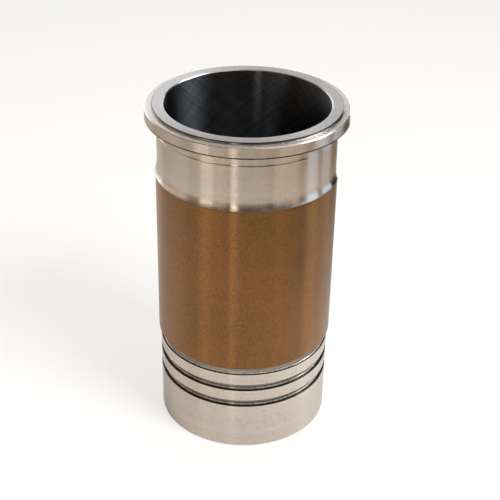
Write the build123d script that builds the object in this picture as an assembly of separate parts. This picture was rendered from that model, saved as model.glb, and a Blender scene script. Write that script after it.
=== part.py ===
from build123d import *
import os
from math import sqrt

# A flanged wet cylinder liner, turned in one piece from centrifugally cast iron.
# It stands on its lower end: the origin is at the centre of that end and +Z runs
# up the bore to the flange. All sizes are in millimetres.

# Length and bore
overall_length = 282.0
bore_diameter = 130.0
bore_top_chamfer = 0.7
bore_bottom_chamfer = 1.5

# Radial steps, from the bore outwards
wall_under_seals = 2.6  # metal left between the bore and a seal groove
seal_groove_depth = 3.1
relief_groove_depth = 1.8  # below the seal lands
body_step = 1.6  # how far the water jacket body stands above the seal lands
upper_land_step = 1.3  # how far the upper land lies below the body
lip_height = 0.7  # the lip at the top of the body stands this far above it
neck_depth = 0.5  # undercut of the neck, below the upper land
flange_overhang = 8.9  # beyond the upper land
flange_shelf = 5.7  # annulus of the flange that is left outside the fire ring

# Heights of the top end, counted down from the fire ring face
fire_ring_height = 1.8
flange_thickness = 9.2
neck_length = 10.2
upper_land_length = 35.8  # from the foot of the neck to the edge of the lip
lip_width = 0.6

# Heights of the seal end, counted up from the lower end
lower_land_length = 41.8
seal_groove_width = 5.6
seal_land_width = 10.4
seal_groove_count = 2
relief_groove_width = 7.0

# Radii and chamfers
fire_ring_chamfer = 0.3
flange_top_chamfer = 0.8
flange_bottom_chamfer = 0.5
flange_fillet = 1.2
upper_runout_radius = 12.0  # wheel radius where the upper land sweeps out to the lip
body_bottom_chamfer = 0.7
groove_corner = 0.8  # 45 degree corners of the groove floors
land_chamfer = 0.3
foot_chamfer = 0.9

# Radii worked out from the steps
bore_radius = bore_diameter / 2
seal_floor_radius = bore_radius + wall_under_seals
seal_land_radius = seal_floor_radius + seal_groove_depth
relief_floor_radius = seal_land_radius - relief_groove_depth
body_radius = seal_land_radius + body_step
lip_radius = body_radius + lip_height
upper_land_radius = body_radius - upper_land_step
neck_radius = upper_land_radius - neck_depth
flange_radius = upper_land_radius + flange_overhang
fire_ring_radius = flange_radius - flange_shelf

# Heights worked out from the lengths
flange_top = overall_length - fire_ring_height
flange_seat = flange_top - flange_thickness
neck_foot = flange_seat - neck_length
lip_top = neck_foot - upper_land_length
lip_bottom = lip_top - lip_width
seal_end_top = lower_land_length + seal_groove_count * (seal_groove_width + seal_land_width)
body_bottom = seal_end_top + relief_groove_width


def groove(top, bottom, floor):
    # From the floor's upper corner down to the broken edge of the land below it
    Polyline(
        (floor + groove_corner, top),
        (floor, top - groove_corner),
        (floor, bottom + groove_corner),
        (floor + groove_corner, bottom),
        (seal_land_radius - land_chamfer, bottom),
        (seal_land_radius, bottom - land_chamfer),
    )


def top_end():
    # Fire ring, flange and neck, from the bore's upper edge to the foot of the neck
    flange_root = (neck_radius + flange_fillet, flange_seat)
    neck_top = (neck_radius, flange_seat - flange_fillet)
    Polyline(
        (bore_radius, overall_length - bore_top_chamfer),
        (bore_radius + bore_top_chamfer, overall_length),
        (fire_ring_radius - fire_ring_chamfer, overall_length),
        (fire_ring_radius, overall_length - fire_ring_chamfer),
        (fire_ring_radius, flange_top),
        (flange_radius - flange_top_chamfer, flange_top),
        (flange_radius, flange_top - flange_top_chamfer),
        (flange_radius, flange_seat + flange_bottom_chamfer),
        (flange_radius - flange_bottom_chamfer, flange_seat),
        flange_root,
    )
    TangentArc(flange_root, neck_top, tangent=(-1, 0))
    Polyline(neck_top, (neck_radius, neck_foot + neck_depth), (upper_land_radius, neck_foot))


def body():
    # Upper land, its sweep out to the lip, and the water jacket body below.
    # The sweep is an arc that leaves the land tangentially and ends at the lip.
    rise = lip_radius - upper_land_radius
    sweep_height = sqrt(upper_runout_radius**2 - (upper_runout_radius - rise) ** 2)
    land_end = (upper_land_radius, lip_top + sweep_height)
    Line((upper_land_radius, neck_foot), land_end)
    TangentArc(land_end, (lip_radius, lip_top), tangent=(0, -1))
    Polyline(
        (lip_radius, lip_top),
        (lip_radius, lip_bottom),
        (body_radius, lip_bottom - lip_height),
        (body_radius, body_bottom + body_bottom_chamfer),
        (body_radius - body_bottom_chamfer, body_bottom),
        (relief_floor_radius + groove_corner, body_bottom),
    )


def seal_end():
    # Relief under the body, the seal grooves between their lands, and the foot
    groove(body_bottom, seal_end_top, relief_floor_radius)
    land_top = seal_end_top
    for number in range(seal_groove_count):
        groove_top = land_top - seal_land_width
        groove_bottom = groove_top - seal_groove_width
        Polyline(
            (seal_land_radius, land_top - land_chamfer),
            (seal_land_radius, groove_top + land_chamfer),
            (seal_land_radius - land_chamfer, groove_top),
            (seal_floor_radius + groove_corner, groove_top),
        )
        groove(groove_top, groove_bottom, seal_floor_radius)
        land_top = groove_bottom
    Polyline(
        (seal_land_radius, land_top - land_chamfer),
        (seal_land_radius, foot_chamfer),
        (seal_land_radius - foot_chamfer, 0),
        (bore_radius + bore_bottom_chamfer, 0),
        (bore_radius, bore_bottom_chamfer),
        (bore_radius, overall_length - bore_top_chamfer),
    )


with BuildPart() as cylinder_liner:
    with BuildSketch(Plane.XZ):
        with BuildLine():
            top_end()
            body()
            seal_end()
        make_face()
    revolve(axis=Axis.Z)

cylinder_liner.part.label = "cylinder_liner"
os.makedirs("parts", exist_ok=True)
export_step(cylinder_liner.part, "parts/cylinder_liner.step")
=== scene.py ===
import math

import bmesh
import bpy
from mathutils import Matrix, Vector


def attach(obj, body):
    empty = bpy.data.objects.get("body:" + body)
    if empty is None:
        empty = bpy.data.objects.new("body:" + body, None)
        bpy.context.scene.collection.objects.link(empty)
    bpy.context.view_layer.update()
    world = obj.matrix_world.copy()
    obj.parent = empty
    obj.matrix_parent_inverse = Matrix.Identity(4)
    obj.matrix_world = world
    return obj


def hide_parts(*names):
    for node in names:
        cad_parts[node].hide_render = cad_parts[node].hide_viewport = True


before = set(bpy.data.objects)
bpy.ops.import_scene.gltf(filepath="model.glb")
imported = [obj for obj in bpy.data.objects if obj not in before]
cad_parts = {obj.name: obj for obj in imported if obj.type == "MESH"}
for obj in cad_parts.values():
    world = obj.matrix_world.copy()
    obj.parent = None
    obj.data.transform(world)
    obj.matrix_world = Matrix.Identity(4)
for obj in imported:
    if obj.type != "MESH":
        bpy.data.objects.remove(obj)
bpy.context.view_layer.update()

# A flanged wet cylinder liner, standing on its lower end with the bore along +Z.
# The dictionaries give the liner's sizes in millimetres; mm turns them into Blender's metres.
mm = 0.001


def addNode(tree, kind, inputs=None, **settings):
    # Inputs are keyed by name or number and may be plain values or other nodes' outputs
    node = tree.nodes.new(kind)
    for name, value in settings.items():
        setattr(node, name, value)
    for key, value in (inputs or {}).items():
        if isinstance(value, bpy.types.NodeSocket):
            tree.links.new(value, node.inputs[key])
        else:
            node.inputs[key].default_value = value
    return node


def result(tree, kind, inputs=None, **settings):
    # The first output of a new node
    return addNode(tree, kind, inputs, **settings).outputs[0]


def calc(tree, operation, a, b=0.0, c=0.0, clamp=False):
    return result(tree, "ShaderNodeMath", {0: a, 1: b, 2: c}, operation=operation, use_clamp=clamp)


def add(tree, total, *others):
    for other in others:
        total = calc(tree, "ADD", total, other)
    return total


def multiply(tree, product, *others):
    for other in others:
        product = calc(tree, "MULTIPLY", product, other)
    return product


def blend(tree, first, second, share):
    # This share of the first, and the rest of the second
    return add(tree, multiply(tree, first, share), multiply(tree, second, 1 - share))


def remap(tree, value, fromLow, fromHigh, toLow=0.0, toHigh=1.0):
    inputs = {0: value, 1: fromLow, 2: fromHigh, 3: toLow, 4: toHigh}
    return result(tree, "ShaderNodeMapRange", inputs, clamp=True)


def separate(tree, vector):
    return addNode(tree, "ShaderNodeSeparateXYZ", {0: vector}).outputs


def combine(tree, x=0.0, y=0.0, z=0.0):
    return result(tree, "ShaderNodeCombineXYZ", {0: x, 1: y, 2: z})


def vectorMath(tree, operation, a, b=(0, 0, 0)):
    return result(tree, "ShaderNodeVectorMath", {0: a, 1: b}, operation=operation)


def distance(tree, a, b=(0, 0, 0)):
    return addNode(tree, "ShaderNodeVectorMath", {0: a, 1: b}, operation="DISTANCE").outputs["Value"]


def turnAboutZ(tree, vector, angle):
    inputs = {"Vector": vector, "Angle": angle}
    return result(tree, "ShaderNodeVectorRotate", inputs, rotation_type="Z_AXIS")


def azimuthOf(tree, axes):
    # In degrees: 0 at the front, plus to the right
    return calc(tree, "DEGREES", calc(tree, "ARCTAN2", axes[0], multiply(tree, axes[1], -1.0)))


def mixColours(tree, factor, first, second):
    inputs = {0: factor, 6: first, 7: second}
    return addNode(tree, "ShaderNodeMix", inputs, data_type="RGBA").outputs[2]


noiseReach = (0.3, 0.7)  # noise seldom goes past these


def noise(tree, vector, scale, detail=2.0, roughness=0.5, distortion=0.0):
    return result(tree, "ShaderNodeTexNoise", {
        "Vector": vector,
        "Scale": scale,
        "Detail": detail,
        "Roughness": roughness,
        "Distortion": distortion,
    })


def addSockets(tree, sockets, inOut):
    # sockets: name -> (socket kind, default value)
    for name, (kind, value) in sockets.items():
        socket = tree.interface.new_socket(name, in_out=inOut, socket_type="NodeSocket" + kind)
        if value is not None:
            socket.default_value = value


def arrange(tree):
    # Columns by distance from the first nodes, so that the tree can be read in the editor
    column = {node.name: 0 for node in tree.nodes}
    moved = True
    while moved:
        moved = False
        for link in tree.links:
            wanted = column[link.from_node.name] + 1
            if column[link.to_node.name] < wanted:
                column[link.to_node.name] = wanted
                moved = True
    columnWidth = 220
    rowHeight = 260
    rows = {}
    for node in tree.nodes:
        x = column[node.name]
        rows[x] = rows.get(x, 0) + 1
        node.location = (columnWidth * x, -rowHeight * rows[x])


linerSizes = {
    "overallLength": 282.0,
    "boreRadius": 65.0,
    "boreTopChamfer": 0.7,
    "boreBottomChamfer": 1.5,
    "sealFloorRadius": 67.6,
    "reliefFloorRadius": 68.9,
    "sealLandRadius": 70.7,
    "neckRadius": 70.5,
    "upperLandRadius": 71.0,
    "bodyRadius": 72.3,
    "lipRadius": 73.0,
    "fireRingRadius": 74.2,
    "flangeRadius": 79.86,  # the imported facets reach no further
    "fireRingHeight": 1.8,
    "flangeThickness": 9.2,
    "neckLength": 10.2,
    "upperLandLength": 35.8,
    "lipWidth": 0.6,
    "lowerLandLength": 41.8,
    "sealGrooveWidth": 5.6,
    "sealLandWidth": 10.4,
    "sealGrooveCount": 2,
    "reliefGrooveWidth": 7.0,
    "fireRingChamfer": 0.3,
    "flangeTopChamfer": 0.8,
    "flangeBottomChamfer": 0.5,
    "bodyBottomChamfer": 0.7,
    "landChamfer": 0.3,
    "footChamfer": 0.9,
    "sweepRadius": 12.0,  # wheel radius where the upper land sweeps out to the lip
    "sweepSteps": 16,
    "edgeBreak": 0.1,  # outside edges are rounded by about this much
    "edgeSteps": 2,
    "fireRingRoot": 0.5,
    "flangeRoot": 1.2,
    "neckRunout": 1.5,
    "lipRoot": 0.3,
    "grooveRoot": 0.8,
    "rootSteps": 6,
    "rimShade": 0.55,  # height of the painted shade line along the flange's lower edge
    "rootShade": 0.15,  # how far the painted line along a root runs out over its ledge: painted shade at the fire ring's root, a painted highlight in the grooves' roots
    "landShade": 0.12,  # height of the painted shade line along a land's upper edge
    "crispEdge": 0.15,  # a sharp change from dark to bright takes this much
    "edgeBand": 0.5,  # elsewhere an edge's wear, painted highlight and painted shade fade over this width
    "ringSpacing": 16.0,  # longest step along a plain wall
    "coatingGap": 0.15,  # the coating stops this far below the lip's upper edge
    "finishMargin": 0.02,  # a finish's limits lie this far past its own faces
    "grooveMargin": 0.05,  # and the grooves' finish stops this far short of the land's edge
    "seam": 0.002,  # points nearer than this are joined
    "segments": 256,
    "creaseAngle": 40.0,
    # 1 where an edge is worn bright with a painted highlight, and -1 for a painted shade line in a corner
    # or along an edge
    "wearAndPaintedLight": {
        "boreTop": 0.3,
        "fireRingEdge": -1.0,
        "fireRingRoot": -0.4,
        "flangeLedge": 0.52,
        "flangeTop": 0.3,
        "flangeBottom": -1.0,
        "neckFoot": 1.0,
        "lipBottom": -0.6,
        "lipRoot": -1.0,
        "bodyBottom": -1.0,
        "landBottom": 0.3,
        "grooveTop": -0.8,
        "grooveBottom": 0.7,
        "grooveLedge": -1.0,
        "landTop": 0.8,
        "foot": 0.5,
    },
}


def linerHeights(s):
    top = s["overallLength"]
    flangeTop = top - s["fireRingHeight"]
    seat = flangeTop - s["flangeThickness"]
    neckFoot = seat - s["neckLength"]
    lipTop = neckFoot - s["upperLandLength"]
    lipBottom = lipTop - s["lipWidth"]
    sealPitch = s["sealGrooveWidth"] + s["sealLandWidth"]
    sealEndTop = s["lowerLandLength"] + s["sealGrooveCount"] * sealPitch
    return {
        "top": top,
        "flangeTop": flangeTop,
        "seat": seat,
        "neckFoot": neckFoot,
        "lipTop": lipTop,
        "lipBottom": lipBottom,
        "bodyBottom": sealEndTop + s["reliefGrooveWidth"],
        "sealEndTop": sealEndTop,
    }


def topEndCorners(s, h):
    # Fire ring, flange and neck, from the bore's upper edge to the foot of the neck
    wearAndPaintedLight = s["wearAndPaintedLight"]
    edge = s["edgeBreak"]
    flange = s["flangeRadius"]
    flangeEdge = h["seat"] + s["flangeBottomChamfer"]
    ledgeStart = s["fireRingRadius"] + s["fireRingRoot"] + s["rootShade"]
    neckStep = s["upperLandRadius"] - s["neckRadius"]
    return [
        (s["boreRadius"], h["top"] - s["boreTopChamfer"], edge, 0.0),
        (s["boreRadius"] + s["boreTopChamfer"], h["top"], edge, wearAndPaintedLight["boreTop"]),
        (s["fireRingRadius"] - s["fireRingChamfer"], h["top"], edge, wearAndPaintedLight["fireRingEdge"]),
        (s["fireRingRadius"], h["top"] - s["fireRingChamfer"], edge, wearAndPaintedLight["fireRingEdge"]),
        (s["fireRingRadius"], h["flangeTop"], s["fireRingRoot"], wearAndPaintedLight["fireRingRoot"]),
        (ledgeStart, h["flangeTop"], 0.0, wearAndPaintedLight["flangeLedge"]),
        (flange - s["flangeTopChamfer"], h["flangeTop"], edge, wearAndPaintedLight["flangeLedge"]),
        (flange, h["flangeTop"] - s["flangeTopChamfer"], edge, wearAndPaintedLight["flangeTop"]),
        (flange, flangeEdge + s["rimShade"], 0.0, wearAndPaintedLight["flangeBottom"]),
        (flange, flangeEdge, edge, wearAndPaintedLight["flangeBottom"]),
        (flange - s["flangeBottomChamfer"], h["seat"], edge, wearAndPaintedLight["flangeBottom"]),
        (s["neckRadius"], h["seat"], s["flangeRoot"], wearAndPaintedLight["flangeBottom"]),
        (s["neckRadius"], h["neckFoot"] + neckStep, s["neckRunout"], 0.0),
        (s["upperLandRadius"], h["neckFoot"], edge, wearAndPaintedLight["neckFoot"]),
    ]


def bodyCorners(s, h):
    # The sweep is an arc that leaves the upper land tangentially and ends at the lip
    wearAndPaintedLight = s["wearAndPaintedLight"]
    edge = s["edgeBreak"]
    wheel = s["sweepRadius"]
    rise = s["lipRadius"] - s["upperLandRadius"]
    turn = math.acos(1 - rise / wheel)
    corners = []
    for step in range(s["sweepSteps"]):
        angle = turn * step / s["sweepSteps"]
        radius = s["upperLandRadius"] + wheel * (1 - math.cos(angle))
        corners.append((radius, h["lipTop"] + wheel * (math.sin(turn) - math.sin(angle)), 0.0, 0.0))
    lipStep = s["lipRadius"] - s["bodyRadius"]
    chamfer = s["bodyBottomChamfer"]
    return corners + [
        (s["lipRadius"], h["lipTop"], edge, 0.0),
        (s["lipRadius"], h["lipBottom"], edge, wearAndPaintedLight["lipBottom"]),
        (s["bodyRadius"], h["lipBottom"] - lipStep, s["lipRoot"], wearAndPaintedLight["lipRoot"]),
        (s["bodyRadius"], h["bodyBottom"] + chamfer, edge, 0.0),
        (s["bodyRadius"] - chamfer, h["bodyBottom"], edge, wearAndPaintedLight["bodyBottom"]),
    ]


def grooveCorners(s, top, bottom, floor):
    # From the floor's upper root, down and out to the upper edge of the land below
    wearAndPaintedLight = s["wearAndPaintedLight"]
    edge = s["edgeBreak"]
    root = s["grooveRoot"]
    land = s["sealLandRadius"]
    ledgeEnd = land - s["landChamfer"]
    landTop = bottom - s["landChamfer"]
    brightFrom = landTop - s["landShade"] - s["crispEdge"]
    return [
        (floor, top, root, wearAndPaintedLight["grooveTop"]),
        (floor, bottom, root, wearAndPaintedLight["grooveBottom"]),
        (floor + root + s["rootShade"], bottom, 0.0, wearAndPaintedLight["grooveLedge"]),
        (ledgeEnd, bottom, edge, wearAndPaintedLight["grooveLedge"]),
        (land, landTop, edge, wearAndPaintedLight["grooveLedge"]),
        (land, landTop - s["landShade"], 0.0, wearAndPaintedLight["grooveLedge"]),
        (land, brightFrom, 0.0, wearAndPaintedLight["landTop"]),
    ]


def sealEndCorners(s, h):
    # The relief under the body, the seal grooves between their lands, the foot and the bore
    wearAndPaintedLight = s["wearAndPaintedLight"]
    edge = s["edgeBreak"]
    land = s["sealLandRadius"]
    corners = grooveCorners(s, h["bodyBottom"], h["sealEndTop"], s["reliefFloorRadius"])
    landTop = h["sealEndTop"]
    for _ in range(s["sealGrooveCount"]):
        landBottom = landTop - s["sealLandWidth"]
        corners += [
            (land, landBottom + s["landChamfer"], edge, wearAndPaintedLight["landBottom"]),
            (land - s["landChamfer"], landBottom, edge, 0.0),
        ]
        landTop = landBottom - s["sealGrooveWidth"]
        corners += grooveCorners(s, landBottom, landTop, s["sealFloorRadius"])
    return corners + [
        (land, s["footChamfer"], edge, wearAndPaintedLight["foot"]),
        (land - s["footChamfer"], 0.0, edge, 0.0),
        (s["boreRadius"] + s["boreBottomChamfer"], 0.0, edge, 0.0),
        (s["boreRadius"], s["boreBottomChamfer"], edge, 0.0),
    ]


def finishLimits(s, h):
    # Where each finish starts and ends, under the names of the lathe's inputs
    margin = s["finishMargin"]
    limits = {
        "Bore Radius": s["boreRadius"] + margin,
        "Top Face": h["top"] - margin,
        "Coating Radius": s["bodyRadius"] - s["bodyBottomChamfer"] - margin,
        "Coating Top": h["lipTop"] - s["coatingGap"],
        "Coating Bottom": h["bodyBottom"] + margin,
        "Groove Radius": s["sealLandRadius"] - s["landChamfer"] - s["grooveMargin"],
        "Groove Top": h["bodyBottom"] + s["grooveMargin"],
        "Groove Bottom": s["lowerLandLength"] - s["grooveMargin"],
    }
    return {name: size * mm for name, size in limits.items()}


def sectionPoints(s, corners):
    # Each corner is (radius, height, rounding, wear and painted light). Between them come points that keep
    # the walls flat in shading, and extra rings on the long walls.
    points = []
    reach = []
    count = len(corners)
    for i, (radius, height, rounding, wearAndPaintedLight) in enumerate(corners):
        before = Vector((radius, height)) - Vector(corners[i - 1][:2])
        after = Vector(corners[(i + 1) % count][:2]) - Vector((radius, height))
        reach.append(rounding * math.tan(before.angle(after) / 2))
    for i, (radius, height, rounding, wearAndPaintedLight) in enumerate(corners):
        here = Vector((radius, height))
        after = Vector(corners[(i + 1) % count][:2])
        steps = s["edgeSteps"] if rounding <= s["edgeBreak"] else s["rootSteps"]
        points.append((here, rounding, steps, wearAndPaintedLight))
        length = (after - here).length
        along = (after - here) / length
        first = reach[i] + s["edgeBand"]
        last = length - reach[(i + 1) % count] - s["edgeBand"]
        if last - first > s["edgeBand"] / 2:
            # A wall with the same wear and painted highlight at both ends keeps it all the way
            level = wearAndPaintedLight if wearAndPaintedLight == corners[(i + 1) % count][3] and wearAndPaintedLight > 0 else 0.0
            spaces = max(1, math.ceil((last - first) / s["ringSpacing"]))
            for number in range(spaces + 1):
                points.append((here + along * (first + (last - first) * number / spaces), 0.0, 1, level))
    return points


def sectionObject(s, corners):
    points = sectionPoints(s, corners)
    mesh = bpy.data.meshes.new("linerSection")
    places = [(place.x * mm, 0.0, place.y * mm) for place, rounding, steps, wearAndPaintedLight in points]
    joins = [(i, (i + 1) % len(points)) for i in range(len(points))]
    mesh.from_pydata(places, joins, [])
    columns = {
        "rounding": ("FLOAT", [rounding * mm for place, rounding, steps, wearAndPaintedLight in points]),
        "roundingSteps": ("INT", [steps for place, rounding, steps, wearAndPaintedLight in points]),
        "wearAndPaintedLight": ("FLOAT", [wearAndPaintedLight for place, rounding, steps, wearAndPaintedLight in points]),
    }
    for name, (kind, values) in columns.items():
        mesh.attributes.new(name, kind, "POINT").data.foreach_set("value", values)
    section = bpy.data.objects.new("linerSection", mesh)
    bpy.context.scene.collection.objects.link(section)
    return section


def namedValue(tree, name, kind="FLOAT"):
    return result(tree, "GeometryNodeInputNamedAttribute", {"Name": name}, data_type=kind)


def storeValue(tree, mesh, name, value, kind, domain):
    inputs = {"Geometry": mesh, "Name": name, "Value": value}
    return result(tree, "GeometryNodeStoreNamedAttribute", inputs, data_type=kind, domain=domain)


def wholeNumber(tree, operation, a, b):
    return result(tree, "FunctionNodeIntegerMath", {0: a, 1: b}, operation=operation)


def roundedCorners(tree, section):
    return result(tree, "GeometryNodeFilletCurve", {
        "Curve": result(tree, "GeometryNodeMeshToCurve", {"Mesh": section}),
        "Count": namedValue(tree, "roundingSteps", "INT"),
        "Radius": namedValue(tree, "rounding"),
        "Limit Radius": True,
    }, mode="POLY")


def turnedSheet(tree, section, segments):
    # A sheet with one column for each point of the section and one row for each segment
    counts = addNode(tree, "GeometryNodeAttributeDomainSize", {0: section}, component="CURVE").outputs
    pointCount = counts["Point Count"]
    rows = wholeNumber(tree, "ADD", segments, 1)
    sheet = result(tree, "GeometryNodeMeshGrid", {
        "Vertices X": wholeNumber(tree, "ADD", pointCount, 1),
        "Vertices Y": rows,
    })
    index = result(tree, "GeometryNodeInputIndex")
    column = wholeNumber(tree, "DIVIDE_FLOOR", index, rows)
    around = calc(tree, "DIVIDE", wholeNumber(tree, "MODULO", index, rows), segments)
    point = wholeNumber(tree, "MODULO", column, pointCount)

    def onSection(value, kind="FLOAT"):
        inputs = {0: section, 1: value, 2: point}
        return result(tree, "GeometryNodeSampleIndex", inputs, data_type=kind, domain="POINT")

    # Its layout: round the axis one way and along the section the other
    length = addNode(tree, "GeometryNodeSplineParameter").outputs["Length"]
    wholeLength = result(tree, "GeometryNodeCurveLength", {0: section})
    along = calc(tree, "DIVIDE", onSection(length), wholeLength)
    ends = {2: column, 3: pointCount}
    isLast = result(tree, "FunctionNodeCompare", ends, data_type="INT", operation="EQUAL")
    along = result(tree, "GeometryNodeSwitch", {0: isLast, 1: along, 2: 1.0}, input_type="FLOAT")
    sheet = storeValue(tree, sheet, "OFBake", combine(tree, around, along), "FLOAT2", "CORNER")
    sheet = storeValue(tree, sheet, "wearAndPaintedLight", onSection(namedValue(tree, "wearAndPaintedLight")), "FLOAT", "POINT")

    # Wrapped round the axis
    place = onSection(result(tree, "GeometryNodeInputPosition"), "FLOAT_VECTOR")
    wrapped = turnAboutZ(tree, place, multiply(tree, around, 2 * math.pi))
    return result(tree, "GeometryNodeSetPosition", {"Geometry": sheet, "Position": wrapped})


def creasedShading(tree, mesh, creaseAngle):
    # Smooth faces, with creases where the section turns sharply
    smooth = result(tree, "GeometryNodeSetShadeSmooth", {0: mesh, 2: True}, domain="FACE")
    angle = addNode(tree, "GeometryNodeInputMeshEdgeAngle").outputs["Unsigned Angle"]
    isCrease = calc(tree, "GREATER_THAN", angle, creaseAngle)
    return result(tree, "GeometryNodeSetShadeSmooth", {0: smooth, 1: isCrease, 2: False}, domain="EDGE")


def setFinishes(tree, mesh, given):
    # Each zone has its own finish, chosen by the middle of each face
    x, y, height = separate(tree, result(tree, "GeometryNodeInputPosition"))
    radius = distance(tree, combine(tree, x, y))

    def isPast(value, limit):
        return calc(tree, "GREATER_THAN", value, given[limit])

    def isUnder(value, limit):
        return calc(tree, "LESS_THAN", value, given[limit])

    coatedHeight = multiply(tree, isUnder(height, "Coating Top"), isPast(height, "Coating Bottom"))
    grooveHeight = multiply(tree, isUnder(height, "Groove Top"), isPast(height, "Groove Bottom"))
    zones = {
        "Faced Iron": isPast(height, "Top Face"),
        "Coated Iron": multiply(tree, isPast(radius, "Coating Radius"), coatedHeight),
        "Groove Iron": multiply(tree, isUnder(radius, "Groove Radius"), grooveHeight),
        "Honed Iron": isUnder(radius, "Bore Radius"),
    }
    mesh = result(tree, "GeometryNodeSetMaterial", {0: mesh, "Material": given["Turned Iron"]})
    for name, isHere in zones.items():
        mesh = result(tree, "GeometryNodeSetMaterial", {0: mesh, 1: isHere, 2: given[name]})
    return mesh


def latheTree():
    # Rounds a section's corners, turns it about Z and closes its seams
    tree = bpy.data.node_groups.new("lathe", "GeometryNodeTree")
    addSockets(tree, {
        "Section": ("Geometry", None),
        "Segments": ("Int", 128),
        "Crease Angle": ("Float", 0.7),
        "Seam": ("Float", 0.000002),
        "Bore Radius": ("Float", 0.065),
        "Top Face": ("Float", 0.28),
        "Coating Radius": ("Float", 0.072),
        "Coating Top": ("Float", 0.2),
        "Coating Bottom": ("Float", 0.1),
        "Groove Radius": ("Float", 0.070),
        "Groove Top": ("Float", 0.08),
        "Groove Bottom": ("Float", 0.04),
        "Turned Iron": ("Material", None),
        "Faced Iron": ("Material", None),
        "Coated Iron": ("Material", None),
        "Groove Iron": ("Material", None),
        "Honed Iron": ("Material", None),
    }, "INPUT")
    addSockets(tree, {"Liner": ("Geometry", None)}, "OUTPUT")
    given = addNode(tree, "NodeGroupInput").outputs
    rounded = roundedCorners(tree, given["Section"])
    sheet = turnedSheet(tree, rounded, given["Segments"])
    closed = result(tree, "GeometryNodeMergeByDistance", {"Geometry": sheet, "Distance": given["Seam"]})
    creased = creasedShading(tree, closed, given["Crease Angle"])
    whole = result(tree, "GeometryNodeRealizeInstances", {0: creased})
    addNode(tree, "NodeGroupOutput", {0: setFinishes(tree, whole, given)})
    arrange(tree)
    return tree


def turnedMesh(name, section, tree, values):
    # Runs the lathe tree on the section and keeps the result as a plain mesh
    modifier = section.modifiers.new("lathe", "NODES")
    modifier.node_group = tree
    for socket in tree.interface.items_tree:
        if socket.in_out == "INPUT" and socket.name in values:
            modifier[socket.identifier] = values[socket.name]
    section.update_tag()
    bpy.context.view_layer.update()
    evaluated = section.evaluated_get(bpy.context.evaluated_depsgraph_get())
    mesh = bpy.data.meshes.new_from_object(evaluated)
    section.modifiers.clear()
    bpy.data.objects.remove(section)
    mesh.name = name
    piece = bpy.data.objects.new(name, mesh)
    bpy.context.scene.collection.objects.link(piece)
    return piece


def effectGroup(name, inputs, outputs):
    tree = bpy.data.node_groups.new(name, "ShaderNodeTree")
    addSockets(tree, inputs, "INPUT")
    addSockets(tree, {output: ("Float", None) for output in outputs}, "OUTPUT")
    return tree, addNode(tree, "NodeGroupInput").outputs


def finishGroup(tree, outputs):
    addNode(tree, "NodeGroupOutput", outputs)
    arrange(tree)
    return tree


def turningMarksGroup():
    # Rings left by the tool, at equal steps along the section on walls, steps and faces alike
    tree, given = effectGroup("turningMarks", {
        "Vector": ("Vector", None),
        "Pitch": ("Float", 0.0004),
        "Band": ("Float", 0.006),
        "Waver": ("Float", 1.0),
    }, ["Height", "Bands"])
    x, y, height = separate(tree, given["Vector"])
    flat = combine(tree, x, y)
    direction = separate(tree, vectorMath(tree, "NORMALIZE", flat))
    along = add(tree, height, distance(tree, flat))

    def rings(step, waver, detail):
        place = combine(
            tree,
            multiply(tree, direction[0], waver),
            multiply(tree, direction[1], waver),
            calc(tree, "DIVIDE", along, step),
        )
        return noise(tree, place, scale=1.0, detail=detail, roughness=0.6)

    fine = rings(given["Pitch"], given["Waver"], detail=2.0)
    broad = rings(given["Band"], waver=0.35, detail=3.0)
    return finishGroup(tree, {"Height": fine, "Bands": remap(tree, broad, *noiseReach)})


def grainGroup():
    tree, given = effectGroup("grain", {
        "Vector": ("Vector", None),
        "Scale": ("Float", 800.0),
    }, ["Grain"])
    grain = noise(tree, given["Vector"], given["Scale"], detail=3.0, roughness=0.7)
    return finishGroup(tree, {"Grain": grain})


def handlingGroup():
    # Soft stains from handling and storage
    tree, given = effectGroup("handling", {
        "Vector": ("Vector", None),
        "Stain Scale": ("Float", 30.0),
    }, ["Stain"])
    clean, stained = 0.35, 0.7
    cloud = noise(tree, given["Vector"], given["Stain Scale"], detail=5.0, roughness=0.55, distortion=0.4)
    return finishGroup(tree, {"Stain": remap(tree, cloud, clean, stained)})


def edgeWearAndPaintedLightGroup():
    # A mask along the edges where Wear And Painted Light has the given sign: 1 for worn edges with painted
    # highlights and -1 for painted shade lines. Noise breaks it up, so that a line isn't even, and leaves
    # at least Least of it.
    tree, given = effectGroup("edgeWearAndPaintedLight", {
        "Vector": ("Vector", None),
        "Wear And Painted Light": ("Float", 0.0),
        "Sign": ("Float", 1.0),
        "Scale": ("Float", 400.0),
        "Least": ("Float", 0.35),
    }, ["Mask"])
    thin, full = 0.3, 0.6
    ragged = noise(tree, given["Vector"], given["Scale"], detail=3.0)
    strength = remap(tree, ragged, thin, full, given["Least"], 1.0)
    line = multiply(tree, given["Wear And Painted Light"], given["Sign"], strength)
    return finishGroup(tree, {"Mask": calc(tree, "MAXIMUM", line, 0.0, clamp=True)})


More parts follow.
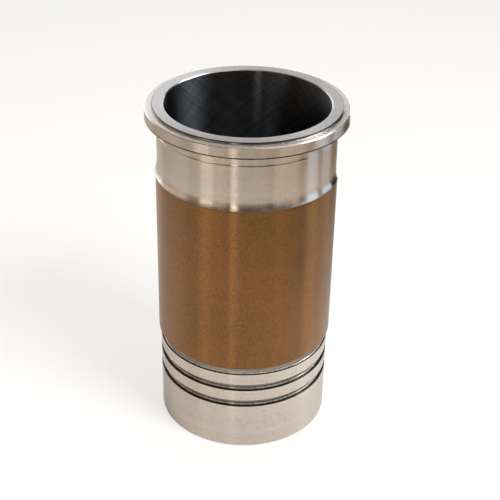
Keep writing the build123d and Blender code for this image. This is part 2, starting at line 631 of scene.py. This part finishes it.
def honingGroup():
    # Two crossing sets of helical strokes, seamless round the bore
    tree, given = effectGroup("honing", {
        "Vector": ("Vector", None),
        "Twist": ("Float", 30.0),
        "Strokes": ("Float", 90.0),
        "Fade": ("Float", 12.0),
    }, ["Height", "Strokes"])
    x, y, z = separate(tree, given["Vector"])
    direction = vectorMath(tree, "NORMALIZE", combine(tree, x, y))

    def strokeSet(hand, seed):
        turned = turnAboutZ(tree, direction, multiply(tree, z, given["Twist"], hand))
        scaled = {0: turned, "Scale": given["Strokes"]}
        spread = result(tree, "ShaderNodeVectorMath", scaled, operation="SCALE")
        slow = add(tree, multiply(tree, z, given["Fade"]), seed)
        place = vectorMath(tree, "ADD", spread, combine(tree, z=slow))
        return noise(tree, place, scale=1.0, detail=3.0, roughness=0.7)

    groove, land = 0.35, 0.53
    height = calc(tree, "MINIMUM", strokeSet(hand=1.0, seed=0.0), strokeSet(hand=-1.0, seed=5.0))
    return finishGroup(tree, {"Height": height, "Strokes": remap(tree, height, groove, land)})


def newMaterial(name):
    material = bpy.data.materials.new(name)
    material.use_nodes = True
    material.node_tree.nodes.clear()
    return material, material.node_tree


def objectPlace(tree):
    return addNode(tree, "ShaderNodeTexCoord").outputs["Object"]


def useGroup(tree, group, inputs):
    return addNode(tree, "ShaderNodeGroup", inputs, node_tree=group).outputs


def useMarks(tree, effects, look, place):
    return useGroup(tree, effects["turningMarks"], {
        "Vector": place,
        "Pitch": look["pitch"] * mm,
        "Band": look["band"] * mm,
        "Waver": look["waver"],
    })


def useStain(tree, effects, look, place):
    inputs = {"Vector": place, "Stain Scale": look["stainScale"]}
    return useGroup(tree, effects["handling"], inputs)["Stain"]


def useGrain(tree, effects, look, place):
    return useGroup(tree, effects["grain"], {"Vector": place, "Scale": look["grainScale"]})["Grain"]


def useEdges(tree, effects, look, place, sign, least):
    return useGroup(tree, effects["edgeWearAndPaintedLight"], {
        "Vector": place,
        "Wear And Painted Light": addNode(tree, "ShaderNodeAttribute", attribute_name="wearAndPaintedLight").outputs["Fac"],
        "Sign": sign,
        "Scale": look["edgeScale"],
        "Least": least,
    })["Mask"]


def useWearAndHighlight(tree, effects, look, place):
    return useEdges(tree, effects, look, place, 1.0, look["leastWearAndHighlight"])


def usePaintedShade(tree, effects, look, place):
    return useEdges(tree, effects, look, place, -1.0, look["leastPaintedShade"])


def unevenRoughness(tree, look, value, low=0.0, high=1.0):
    half = look["roughnessSpread"] / 2
    return remap(tree, value, low, high, look["roughness"] - half, look["roughness"] + half)


def metalShader(tree, look, colour, roughness, height, depth, metallic=1.0):
    # Tool marks run round the axis, so a reflection is drawn out across them
    marks = {"Strength": 1.0, "Distance": depth * mm, "Height": height}
    inputs = {
        "Base Color": colour,
        "Metallic": metallic,
        "Roughness": roughness,
        "Normal": result(tree, "ShaderNodeBump", marks),
        "Anisotropic": look["anisotropy"],
        "Anisotropic Rotation": 0.25,  # a quarter turn from the tangent
        "Tangent": result(tree, "ShaderNodeTangent", direction_type="RADIAL", axis="Z"),
    }
    if "coat" in look:
        inputs["Coat Weight"] = look["coat"]
        inputs["Coat Roughness"] = look["coatRoughness"]
    shader = result(tree, "ShaderNodeBsdfPrincipled", inputs)
    addNode(tree, "ShaderNodeOutputMaterial", {0: shader})
    arrange(tree)


# In the looks, pitch, band and depths are in millimetres, and a scale is noise cells per metre
turnedLook = {
    "colour": (0.67, 0.603, 0.537, 1),
    "stainColour": (0.55, 0.487, 0.423, 1),
    "wearAndHighlightColour": (0.84, 0.79, 0.73, 1),
    "paintedShadeColour": (0.05, 0.035, 0.025, 1),
    "stainShare": 0.2,  # how much of the stain colour each of the three brings
    "bandShare": 0.4,
    "grainShare": 0.5,
    "grainContrast": (0.38, 0.62),
    "wearAndHighlightShare": 0.7,
    "wornScatter": 0.5,  # an edge with wear and painted highlight scatters this share of its light instead of mirroring it
    "leastWearAndHighlight": 0.35,  # what is left of a line of wear and painted highlight, and of a painted shade line, where it is thinnest
    "leastPaintedShade": 0.9,
    "edgeScale": 400.0,
    "stainScale": 22.0,
    "grainScale": 800.0,
    "roughness": 0.26,
    "roughnessSpread": 0.02,
    "anisotropy": 1.0,
    "pitch": 0.35,
    "band": 5.0,
    "waver": 1.0,
    "markDepth": 0.0006,
}

# The top face differs from the turned walls in these
facedLook = {
    **turnedLook,
    "colour": (0.625, 0.585, 0.555, 1),
    "stainColour": (0.495, 0.46, 0.43, 1),
    "wearAndHighlightColour": (0.80, 0.78, 0.76, 1),
    "roughness": 0.36,
    "roughnessSpread": 0.05,
    "anisotropy": 0.7,
    "pitch": 0.25,
    "band": 1.6,
    "markDepth": 0.0005,
}


def ironMaterial(name, look, effects):
    material, tree = newMaterial(name)
    place = objectPlace(tree)
    marks = useMarks(tree, effects, look, place)
    stain = useStain(tree, effects, look, place)
    grain = useGrain(tree, effects, look, place)
    wearAndHighlight = useWearAndHighlight(tree, effects, look, place)
    paintedShade = usePaintedShade(tree, effects, look, place)
    stained = multiply(tree, stain, look["stainShare"])
    banded = multiply(tree, marks["Bands"], look["bandShare"])
    grained = remap(tree, grain, *look["grainContrast"], -look["grainShare"], look["grainShare"])
    stainMix = calc(tree, "ADD", add(tree, stained, banded), grained, clamp=True)
    colour = mixColours(tree, stainMix, look["colour"], look["stainColour"])
    # Wear and painted highlights lighten the edges, and painted shade darkens corners and edge lines
    colour = mixColours(tree, multiply(tree, wearAndHighlight, look["wearAndHighlightShare"]), colour, look["wearAndHighlightColour"])
    colour = mixColours(tree, paintedShade, colour, look["paintedShadeColour"])
    roughness = unevenRoughness(tree, look, blend(tree, marks["Bands"], stain, share=0.6))
    metallic = calc(tree, "SUBTRACT", 1.0, multiply(tree, wearAndHighlight, look["wornScatter"]))
    metalShader(tree, look, colour, roughness, marks["Height"], look["markDepth"], metallic)
    return material


grooveLook = {
    "colour": (0.30, 0.265, 0.23, 1),
    "stainColour": (0.24, 0.205, 0.17, 1),
    "driftAndPaintedShadeColour": (0.17, 0.10, 0.045, 1),
    "wearAndHighlightColour": (0.84, 0.79, 0.73, 1),
    "paintedShadeColour": (0.05, 0.035, 0.025, 1),
    "wornScatter": 0.5,
    "leastWearAndHighlight": 0.6,
    "leastPaintedShade": 0.9,
    "driftBottom": 77.0,  # heights between which the coating has drifted down, darkened with painted shade under the body
    "driftTop": 78.3,
    "edgeScale": 400.0,
    "stainScale": 30.0,
    "roughness": 0.24,
    "roughnessSpread": 0.05,
    "anisotropy": 0.9,
    "pitch": 0.3,
    "band": 1.5,
    "waver": 1.0,
    "markDepth": 0.0006,
}


def grooveMaterial(name, look, effects):
    # Darker than the lands, with painted highlights along the roots and painted shade on the ledges, and
    # brown where coating has drifted into the relief, darkened there with painted shade under the body
    material, tree = newMaterial(name)
    place = objectPlace(tree)
    marks = useMarks(tree, effects, look, place)
    stain = useStain(tree, effects, look, place)
    wearAndHighlight = useWearAndHighlight(tree, effects, look, place)
    paintedShade = usePaintedShade(tree, effects, look, place)
    colour = mixColours(tree, stain, look["colour"], look["stainColour"])
    height = separate(tree, place)[2]
    # Coating drift just under the body, darkened with painted shade
    driftAndPaintedShade = remap(tree, height, look["driftBottom"] * mm, look["driftTop"] * mm)
    colour = mixColours(tree, driftAndPaintedShade, colour, look["driftAndPaintedShadeColour"])
    # Painted highlights brighten the lower roots, and painted shade darkens the upper roots and the ledges
    colour = mixColours(tree, wearAndHighlight, colour, look["wearAndHighlightColour"])
    colour = mixColours(tree, paintedShade, colour, look["paintedShadeColour"])
    roughness = unevenRoughness(tree, look, stain)
    metallic = calc(tree, "SUBTRACT", 1.0, multiply(tree, wearAndHighlight, look["wornScatter"]))
    metalShader(tree, look, colour, roughness, marks["Height"], look["markDepth"], metallic)
    return material


coatedLook = {
    "colour": (0.345, 0.142, 0.040, 1),
    "paleColour": (0.305, 0.162, 0.036, 1),
    "darkColour": (0.16, 0.072, 0.025, 1),
    "paleShare": 0.7,
    "bandShare": 0.12,
    "speckleShare": 0.62,
    "speckleContrast": (0.40, 0.62),
    "paintedShadeShare": 0.8,
    "leastPaintedShade": 0.8,
    "edgeScale": 400.0,
    "stainScale": 16.0,
    "grainScale": 700.0,
    "grainDepth": 0.001,
    "markShare": 0.5,  # how deep the turning marks show beside the grain
    "roughness": 0.34,
    "roughnessSpread": 0.05,
    "anisotropy": 1.0,
    "pitch": 0.5,
    "band": 7.0,
    "waver": 2.0,
    "coat": 0.34,
    "coatRoughness": 0.2,
    "patchAzimuth": 36.0,  # degrees to the right of the front
    "patchWidth": 15.0,
    "patchBottom": 145.0,  # up to this height the patch is weak, and from the next it is strong
    "patchTop": 175.0,
    "patchWeak": 0.405,
    "patchStrong": 0.9,
    "patchScale": 45.0,
    "patchLeast": 0.6,  # what its own cloud leaves of it
}


def paintedShadePatch(tree, look, place):
    # Painted shade: a darker patch down one side of the coating, growing towards the top, in place of a
    # dark reflection
    axes = separate(tree, place)
    away = calc(tree, "ABSOLUTE", calc(tree, "SUBTRACT", azimuthOf(tree, axes), look["patchAzimuth"]))
    inside = remap(tree, away, 0.0, look["patchWidth"], 1.0, 0.0)
    cloud = noise(tree, place, look["patchScale"], detail=3.0)
    ragged = remap(tree, cloud, *noiseReach, look["patchLeast"], 1.0)
    bottom, top = look["patchBottom"] * mm, look["patchTop"] * mm
    rise = remap(tree, axes[2], bottom, top, look["patchWeak"], look["patchStrong"])
    return multiply(tree, inside, ragged, rise)


def coatedMaterial(name, look, effects):
    material, tree = newMaterial(name)
    place = objectPlace(tree)
    marks = useMarks(tree, effects, look, place)
    stain = useStain(tree, effects, look, place)
    grain = useGrain(tree, effects, look, place)
    paintedShade = usePaintedShade(tree, effects, look, place)
    colour = mixColours(tree, multiply(tree, stain, look["paleShare"]), look["colour"], look["paleColour"])
    # Bands and speckle vary the coating at random; the patch and the lines under the lip and along the
    # body's lower edge are painted shade
    darkenings = (
        multiply(tree, marks["Bands"], look["bandShare"]),
        remap(tree, grain, *look["speckleContrast"], 0.0, look["speckleShare"]),
        paintedShadePatch(tree, look, place),
        multiply(tree, paintedShade, look["paintedShadeShare"]),
    )
    for darkening in darkenings:
        colour = mixColours(tree, darkening, colour, look["darkColour"])
    roughness = unevenRoughness(tree, look, blend(tree, grain, stain, share=0.6), low=0.2, high=0.8)
    height = add(tree, grain, multiply(tree, marks["Height"], look["markShare"]))
    metalShader(tree, look, colour, roughness, height, look["grainDepth"])
    return material


honedLook = {
    # Painted shade: the honed iron's own colour is near black for the deep bore; the strokes give the
    # lighter hatch
    "colour": (0.020, 0.023, 0.026, 1),
    "strokeColour": (0.25, 0.26, 0.275, 1),
    "stainScale": 18.0,
    "roughness": 0.34,
    "roughnessSpread": 0.08,
    "anisotropy": 1.0,
    "twist": 18.0,  # how far a stroke turns, in radians for each metre of height
    "strokes": 240.0,
    "fade": 14.0,
    "strokeDepth": 0.004,
}


def honedMaterial(name, look, effects):
    material, tree = newMaterial(name)
    place = objectPlace(tree)
    stain = useStain(tree, effects, look, place)
    hatch = useGroup(tree, effects["honing"], {
        "Vector": place,
        "Twist": look["twist"],
        "Strokes": look["strokes"],
        "Fade": look["fade"],
    })
    colour = mixColours(tree, hatch["Strokes"], look["colour"], look["strokeColour"])
    roughness = unevenRoughness(tree, look, blend(tree, hatch["Strokes"], stain, share=0.7))
    metalShader(tree, look, colour, roughness, hatch["Height"], look["strokeDepth"])
    return material


# The studio's sizes are in metres
floorLook = {
    "size": 12.0,
    "colour": (0.88, 0.85, 0.80, 1),
    "cloudColour": (0.7, 0.68, 0.66, 1),
    "cloudScale": 2.0,
    "cloudShare": 0.04,
    "glow": 0.62,  # share of the floor that shows as plain white to the camera
    "mirroredGlow": 0.2,  # and to reflections
    # What metal mirrors of the floor, as painted light by distance from the sheet's centre: the liner's
    # painted shadow near the centre, a lit sheet, then a dim bench
    "sheetCentre": (-0.1, -0.06, 0.0),
    "paintedSheetTones": [
        (0.0, (0.64, 0.60, 0.56)),
        (0.12, (0.82, 0.79, 0.76)),
        (0.28, (0.84, 0.84, 0.83)),
        (0.53, (0.58, 0.45, 0.34)),
        (0.90, (0.0, 0.0, 0.0)),
    ],
    "sheetEnd": 1.5,  # past this the floor is clear to reflections
}


def seenFrom(tree, camera, mirrored):
    # One value for the camera's own view, another for what metal mirrors, and 0 for the rest
    rays = addNode(tree, "ShaderNodeLightPath").outputs
    bounced = calc(tree, "MAXIMUM", rays["Is Glossy Ray"], rays["Is Transmission Ray"])
    direct = multiply(tree, rays["Is Camera Ray"], camera)
    return calc(tree, "MULTIPLY_ADD", bounced, mirrored, direct)


def toneRamp(tree, place, tones):
    ramp = addNode(tree, "ShaderNodeValToRGB", {0: place})
    stops = ramp.color_ramp.elements
    while len(stops) > 1:
        stops.remove(stops[-1])
    for number, (at, tone) in enumerate(tones):
        stop = stops[0] if number == 0 else stops.new(at)
        stop.position = at
        stop.color = (*tone, 1)
    return ramp.outputs[0]


def floorMaterial(name, look):
    material, tree = newMaterial(name)
    place = objectPlace(tree)
    cloud = multiply(tree, noise(tree, place, look["cloudScale"], detail=3.0), look["cloudShare"])
    colour = mixColours(tree, cloud, look["colour"], look["cloudColour"])
    # Reflections see the floor in the painted sheet tones, with the liner's painted shadow near the
    # sheet's centre
    away = distance(tree, place, look["sheetCentre"])
    end = look["sheetEnd"]
    tones = [(at / end, tone) for at, tone in look["paintedSheetTones"]]
    sheet = toneRamp(tree, calc(tree, "DIVIDE", away, end), tones)
    mirrored = addNode(tree, "ShaderNodeLightPath").outputs["Is Glossy Ray"]
    paper = result(tree, "ShaderNodeBsdfDiffuse", {"Color": mixColours(tree, mirrored, colour, sheet)})
    glow = result(tree, "ShaderNodeEmission", {
        "Color": mixColours(tree, mirrored, (1, 1, 1, 1), sheet),
        "Strength": 1.0,
    })
    share = seenFrom(tree, look["glow"], look["mirroredGlow"])
    lit = result(tree, "ShaderNodeMixShader", {0: share, 1: paper, 2: glow})
    # Reflections see past the end of the sheet, and from underneath the whole floor is clear
    beyond = remap(tree, away, look["paintedSheetTones"][-1][0], end)
    under = addNode(tree, "ShaderNodeNewGeometry").outputs["Backfacing"]
    hidden = calc(tree, "MAXIMUM", multiply(tree, beyond, mirrored), under)
    clear = result(tree, "ShaderNodeBsdfTransparent")
    surface = result(tree, "ShaderNodeMixShader", {0: hidden, 1: lit, 2: clear})
    addNode(tree, "ShaderNodeOutputMaterial", {0: surface})
    arrange(tree)
    return material


def makeFloor(look):
    half = look["size"] / 2
    mesh = bpy.data.meshes.new("floor")
    corners = [(-half, -half, 0), (half, -half, 0), (half, half, 0), (-half, half, 0)]
    mesh.from_pydata(corners, [], [(0, 1, 2, 3)])
    mesh.materials.append(floorMaterial("floorPaper", look))
    floor = bpy.data.objects.new("floor", mesh)
    bpy.context.scene.collection.objects.link(floor)
    return floor


# Windows, walls and dark gaps round the bench, that only reflections see. Azimuth and elevation
# are in degrees: azimuth 0 is the front and minus is to the left. Later panels lie over earlier ones.
roomLook = {
    "radius": 5.0,
    "tone": (0.02, 0.015, 0.01),
    "elevationSoft": 9.0,  # the panels fade over this many degrees above and below
    # name: (azimuth from and to, elevation from and to, how soft its sides are, tone)
    "panels": {
        "backLow": ((162, 212), (-90, 22.5), 8, (2.8, 2.95, 3.2)),
        "backMiddle": ((178, 212), (20, 35), 8, (1.15, 1.17, 1.17)),
        "backMiddleRight": ((152, 178), (20, 35), 8, (0.16, 0.17, 0.18)),
        "backHigh": ((152, 198), (35, 90), 14, (0.32, 0.31, 0.30)),
        "windowHighLeft": ((-162, -98), (35, 90), 14, (0.3, 0.29, 0.27)),
        "windowHighRight": ((91, 130), (42, 60), 10, (13.5, 14.4, 15.3)),
        "paleLeft": ((-150, -118), (-90, 24), 8, (1.9, 2.05, 2.1)),
        "wallLeft": ((-122, -72), (-90, 20), 8, (1.0, 0.86, 0.76)),
        "postLeft": ((-72, -56), (-90, 24), 6, (0.44, 0.30, 0.19)),
        "windowFrontLeft": ((-56, -39), (-90, 14), 4, (2.3, 2.05, 1.75)),
        "wallFrontLeft": ((-39, -24), (-90, 22), 4, (0.82, 0.63, 0.50)),
        "lampFront": ((-17.5, -10.5), (-90, 30), 2, (2.6, 2.35, 2.0)),
        "lampFrontHigh": ((-18, -10), (54, 72), 3, (2.4, 2.2, 1.9)),
        "wallFront": ((-10, 24), (-90, 6), 5, (0.42, 0.34, 0.26)),
        "wallFrontRight": ((33, 54), (-90, 2), 5, (1.24, 1.13, 0.96)),
        "wallRight": ((54, 64), (-90, 16), 5, (0.92, 0.73, 0.64)),
        "ceilingLeft": ((-100, -14), (54, 78), 8, (0.12, 0.115, 0.11)),
        "ceilingFront": ((-14, 26), (54, 78), 8, (0.5, 0.47, 0.44)),
        "ceilingRight": ((26, 90), (56, 78), 8, (1.6, 1.54, 1.48)),
        "gapRight": ((94, 102), (-90, 10), 3, (0.2, 0.22, 0.26)),
        "windowRight": ((77, 94), (-90, 8), 3, (1.6, 2.05, 2.5)),
        "paleRight": ((102, 122), (-90, 8), 3, (1.7, 1.95, 2.35)),
        "dimBackRight": ((122, 142), (-90, 34), 6, (0.03, 0.03, 0.03)),
        "paleBackRight": ((143, 160), (-90, 8), 5, (5.6, 6.0, 6.6)),
    },
}


def roomTone(tree, look):
    # The room's own tone with each panel laid over it, soft at its edges
    axes = separate(tree, vectorMath(tree, "NORMALIZE", objectPlace(tree)))
    azimuth = azimuthOf(tree, axes)
    elevation = calc(tree, "DEGREES", calc(tree, "ARCSINE", axes[2]))
    fade = look["elevationSoft"]
    tone = (*look["tone"], 1)
    for (left, right), (bottom, top), edge, panelTone in look["panels"].values():
        half = (right - left) / 2
        soft = edge / 2
        # Pingpong measures the shorter way round
        away = calc(tree, "PINGPONG", calc(tree, "SUBTRACT", azimuth, (left + right) / 2), 180.0)
        cover = remap(tree, away, half - soft, half + soft, 1.0, 0.0)
        if bottom > -90:
            cover = multiply(tree, cover, remap(tree, elevation, bottom - fade, bottom + fade))
        if top < 90:
            cover = multiply(tree, cover, remap(tree, elevation, top - fade, top + fade, 1.0, 0.0))
        tone = mixColours(tree, cover, tone, (*panelTone, 1))
    return tone


def makeRoom(look):
    # A round room that only reflections see
    form = bmesh.new()
    bmesh.ops.create_icosphere(form, subdivisions=4, radius=look["radius"])
    mesh = bpy.data.meshes.new("room")
    form.to_mesh(mesh)
    form.free()
    material, tree = newMaterial("roomTones")
    light = result(tree, "ShaderNodeEmission", {"Color": roomTone(tree, look), "Strength": 1.0})
    addNode(tree, "ShaderNodeOutputMaterial", {0: light})
    arrange(tree)
    material.cycles.emission_sampling = "NONE"
    mesh.materials.append(material)
    room = bpy.data.objects.new("room", mesh)
    bpy.context.scene.collection.objects.link(room)
    room.visible_camera = False
    room.visible_diffuse = False
    room.visible_shadow = False
    return room


skyLook = {
    "colour": (1, 1, 1, 1),
    "seen": 1.0,  # strength to the camera and to reflections
    "light": 0.35,  # strength as light on the floor and the liner
}


def makeSky(look):
    world = bpy.data.worlds.new("studioSky")
    world.use_nodes = True
    bpy.context.scene.world = world
    tree = world.node_tree
    tree.nodes.clear()
    strength = remap(tree, seenFrom(tree, 1.0, 1.0), 0.0, 1.0, look["light"], look["seen"])
    sky = result(tree, "ShaderNodeBackground", {"Color": look["colour"], "Strength": strength})
    addNode(tree, "ShaderNodeOutputWorld", {0: sky})
    arrange(tree)


# Lamps: azimuth and elevation in degrees, distance, width and height in metres, power in watts
lampAim = (0, 0, 0.14)
lamps = {
    "softboxRight": {"azimuth": 50, "elevation": 48, "distance": 1.5, "size": (0.6, 0.6), "power": 24},
    "softboxLeft": {"azimuth": -60, "elevation": 50, "distance": 1.8, "size": (0.8, 0.8), "power": 5},
    "overhead": {"azimuth": 180, "elevation": 75, "distance": 1.8, "size": (1.4, 1.4), "power": 12},
}


def makeLamp(name, look, aim):
    data = bpy.data.lights.new(name, "AREA")
    data.shape = "RECTANGLE"
    data.size, data.size_y = look["size"]
    data.energy = look["power"]
    azimuth = math.radians(look["azimuth"])
    elevation = math.radians(look["elevation"])
    outward = Vector((
        math.sin(azimuth) * math.cos(elevation),
        -math.cos(azimuth) * math.cos(elevation),
        math.sin(elevation),
    ))
    lamp = bpy.data.objects.new(name, data)
    lamp.location = aim + outward * look["distance"]
    lamp.rotation_euler = outward.to_track_quat("Z", "Y").to_euler()
    lamp.visible_glossy = False  # metal mirrors the room's panels instead
    bpy.context.scene.collection.objects.link(lamp)


view = {
    "place": (0.0, -0.82085, 0.63457),
    "pitchDown": 30.583,
    "panRight": 0.275,
    "roll": 1.133,
    "lens": 82.98,
    "sensorWidth": 36.0,
    "clip": (0.01, 100.0),
}


def makeCamera(v):
    data = bpy.data.cameras.new("camera")
    data.lens = v["lens"]
    data.sensor_width = v["sensorWidth"]
    data.clip_start, data.clip_end = v["clip"]
    camera = bpy.data.objects.new("camera", data)
    camera.matrix_world = (
        Matrix.Translation(v["place"])
        @ Matrix.Rotation(math.radians(-v["panRight"]), 4, "Z")
        @ Matrix.Rotation(math.radians(90 - v["pitchDown"]), 4, "X")
        @ Matrix.Rotation(math.radians(v["roll"]), 4, "Z")
    )
    bpy.context.scene.collection.objects.link(camera)
    bpy.context.scene.camera = camera


print("finishes")
effects = {
    "turningMarks": turningMarksGroup(),
    "grain": grainGroup(),
    "handling": handlingGroup(),
    "edgeWearAndPaintedLight": edgeWearAndPaintedLightGroup(),
    "honing": honingGroup(),
}
finishes = {
    "Turned Iron": ironMaterial("turnedIron", turnedLook, effects),
    "Faced Iron": ironMaterial("facedIron", facedLook, effects),
    "Groove Iron": grooveMaterial("grooveIron", grooveLook, effects),
    "Coated Iron": coatedMaterial("coatedIron", coatedLook, effects),
    "Honed Iron": honedMaterial("honedIron", honedLook, effects),
}

print("liner on the lathe")
heights = linerHeights(linerSizes)
corners = (
    topEndCorners(linerSizes, heights)
    + bodyCorners(linerSizes, heights)
    + sealEndCorners(linerSizes, heights)
)
values = {
    "Segments": linerSizes["segments"],
    "Crease Angle": math.radians(linerSizes["creaseAngle"]),
    "Seam": linerSizes["seam"] * mm,
    **finishLimits(linerSizes, heights),
    **finishes,
}
liner = turnedMesh("liner", sectionObject(linerSizes, corners), latheTree(), values)
print("liner:", len(liner.data.vertices), "points,", len(liner.data.polygons), "faces")
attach(liner, "root")
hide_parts("cylinder_liner")

print("floor and room")
makeFloor(floorLook)
makeRoom(roomLook)

print("sky, lamps and camera")
makeSky(skyLook)
for name, look in lamps.items():
    makeLamp(name, look, Vector(lampAim))
makeCamera(view)
bpy.context.scene.view_settings.view_transform = "Standard"
